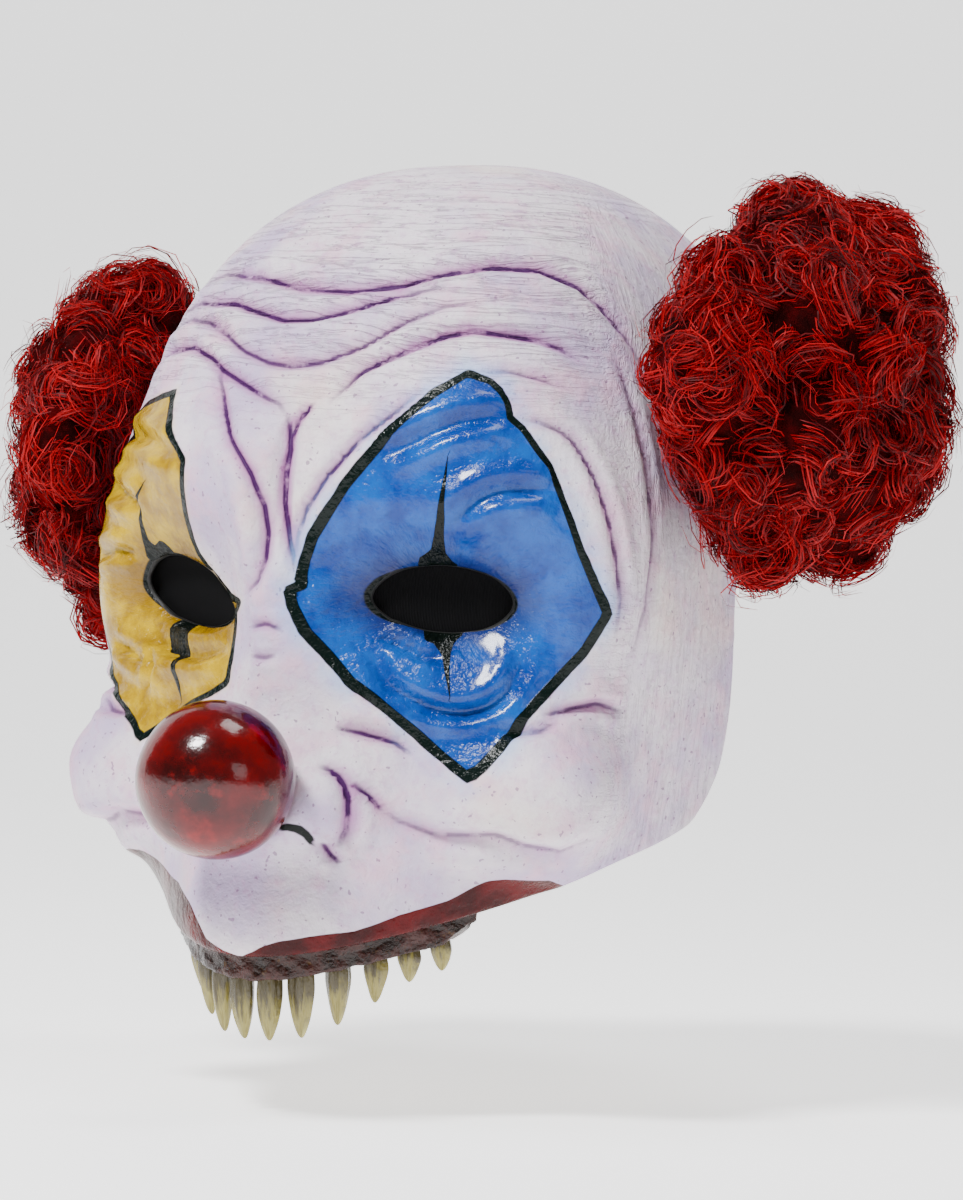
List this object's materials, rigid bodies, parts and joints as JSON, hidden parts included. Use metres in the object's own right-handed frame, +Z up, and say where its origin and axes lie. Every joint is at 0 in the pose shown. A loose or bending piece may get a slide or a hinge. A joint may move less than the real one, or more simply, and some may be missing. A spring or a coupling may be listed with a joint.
{
  "type": "clown half mask",
  "caption": "Bald clown half mask with harlequin eye diamonds, round nose, curly side tufts, upper gum and pointed teeth.",
  "frame": {"origin": "inside top of the dome, where the mask sits on a head", "axes": "+Z up, the face looks along -Y, +X is the wearer's left"},
  "size_m": [0.2674, 0.243, 0.2294],
  "materials": {
    "white_latex": "painted latex, satin",
    "red_nose": "glossy",
    "dark_gum": "wet gloss",
    "yellow_tooth": "stained, glossy",
    "red_hair": "curled fibre"
  },
  "bodies": {
    "root": {"mask_shell": "white_latex", "nose_ball": "red_nose", "upper_gum": "dark_gum", "tooth_left_1": "yellow_tooth", "tooth_left_2": "yellow_tooth", "tooth_left_3": "yellow_tooth", "tooth_left_4": "yellow_tooth", "tooth_left_5": "yellow_tooth", "tooth_left_6": "yellow_tooth", "tooth_right_1": "yellow_tooth", "tooth_right_2": "yellow_tooth", "tooth_right_3": "yellow_tooth", "tooth_right_4": "yellow_tooth", "tooth_right_5": "yellow_tooth", "tooth_right_6": "yellow_tooth", "hair_tuft_left": "red_hair", "hair_tuft_right": "red_hair"}
  },
  "joints": []
}
